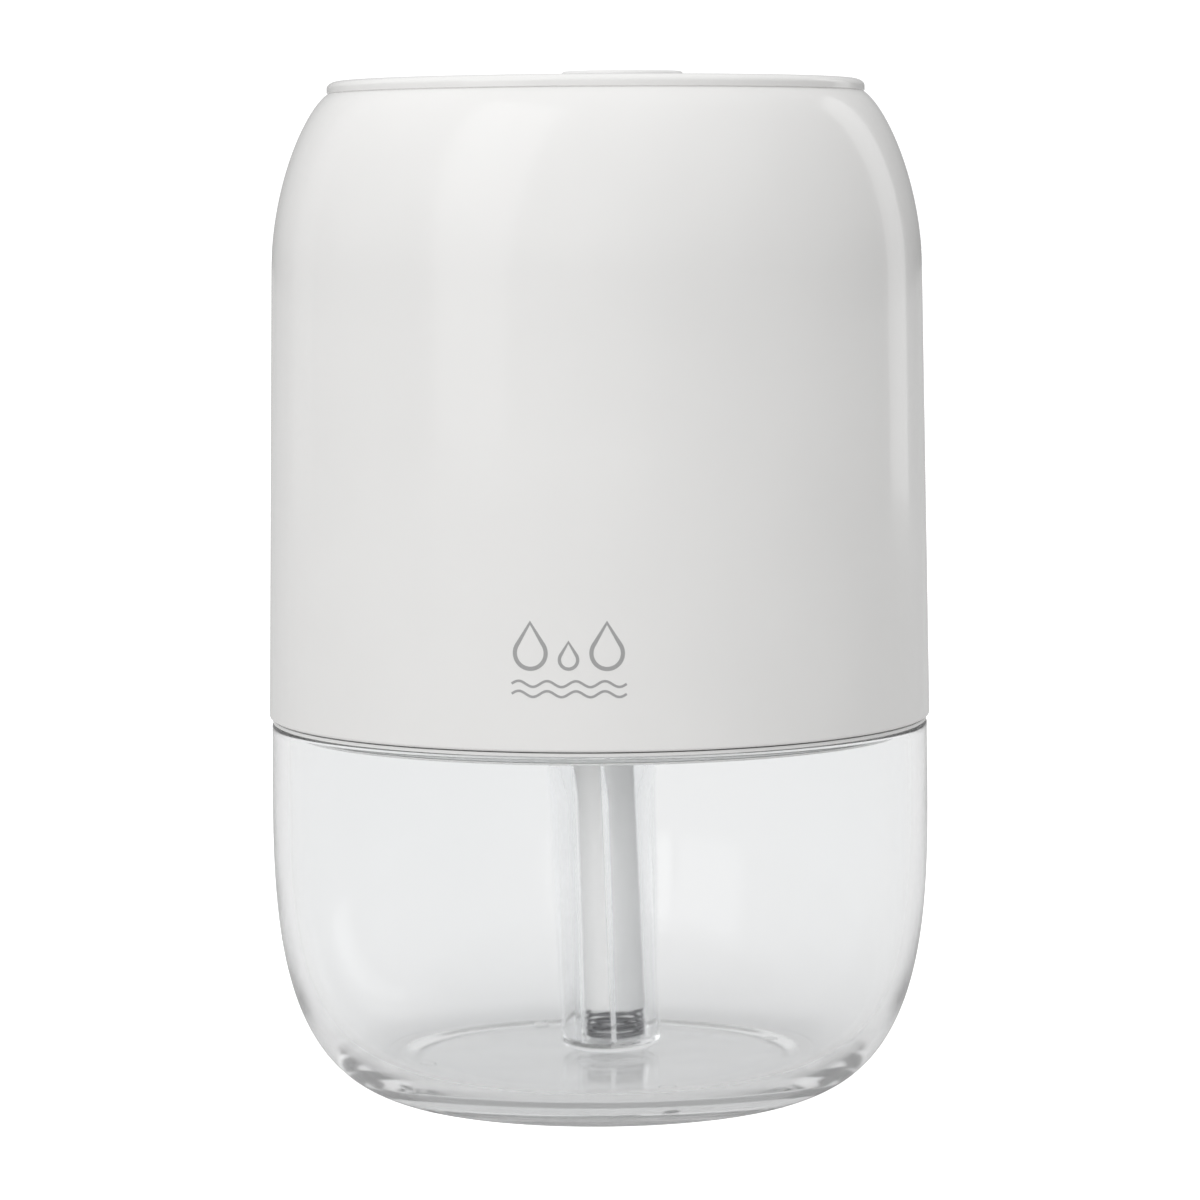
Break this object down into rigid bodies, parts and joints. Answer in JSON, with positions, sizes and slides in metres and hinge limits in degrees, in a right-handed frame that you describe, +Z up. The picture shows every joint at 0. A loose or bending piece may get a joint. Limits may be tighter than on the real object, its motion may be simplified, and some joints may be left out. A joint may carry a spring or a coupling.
{
  "type": "cool mist humidifier",
  "caption": "Desktop cool mist humidifier: white upper unit with lid, mist outlet and power button, which lifts off a clear water tank and carries a cotton filter stick in a clear sleeve.",
  "frame": {"origin": "middle of the tank's flat base, on the surface that the humidifier stands on", "axes": "+Z up through the lid, -Y towards the front, +Y towards the USB inlet at the back"},
  "size_m": [0.0844, 0.0844, 0.129],
  "materials": {
    "clear_tank": "clear, polished",
    "clear_sleeve": "clear, slightly hazy",
    "frosted_plastic": "frosted",
    "white_gloss": "high gloss",
    "white_matte": "fine texture",
    "button_white": "satin",
    "silicone": "translucent",
    "cotton": "pressed fibre",
    "spring_steel": "drawn wire",
    "screw_steel": "plated",
    "socket_steel": "stamped",
    "mesh_steel": "satin",
    "piezo_ceramic": "fired ceramic, silvered",
    "circuit_board": "solder mask",
    "black_plastic": "moulded",
    "connector_ivory": "moulded",
    "led_white": "moulded",
    "ferrite": "sintered",
    "capacitor_can": "drawn can",
    "lead_red": "insulation",
    "lead_grey": "insulation"
  },
  "bodies": {
    "tank": {"water_tank": "clear_tank"},
    "upper_unit": {"tank_seal": "silicone", "base_plate": "white_matte", "base_screws": "screw_steel", "outer_shell": "white_gloss", "top_cover": "white_gloss", "mist_nozzle": "white_matte", "tact_switch": "black_plastic", "button_board": "circuit_board", "button_board_screws": "screw_steel", "status_led": "led_white", "light_pipe": "frosted_plastic", "wick_tower": "white_matte", "tower_seal": "silicone", "tower_screws": "screw_steel", "atomizer_gasket": "silicone", "piezo_ring": "piezo_ceramic", "mesh_plate": "mesh_steel", "atomizer_cap": "white_matte", "cap_screws": "screw_steel", "atomizer_leads": "lead_red", "button_lead": "lead_grey", "main_board": "circuit_board", "board_screws": "screw_steel", "usb_socket": "socket_steel", "usb_tongue": "black_plastic", "driver_chip": "black_plastic", "power_transistor": "black_plastic", "boost_inductor": "ferrite", "capacitors": "capacitor_can", "lead_connectors": "connector_ivory", "filter_sleeve": "clear_sleeve", "filter_stick": "cotton", "filter_spring": "spring_steel"},
    "button": {"power_button": "button_white", "switch_plunger": "black_plastic"}
  },
  "joints": [
    {"name": "unit_lift", "type": "slide", "parent": "tank", "child": "upper_unit", "axis": [0, 0, 1], "range_m": [0, 0.05]},
    {"name": "button_press", "type": "slide", "parent": "upper_unit", "child": "button", "axis": [0, 0, -1], "range_m": [0, 0.0005], "stiffness_N_per_m": 2400}
  ]
}
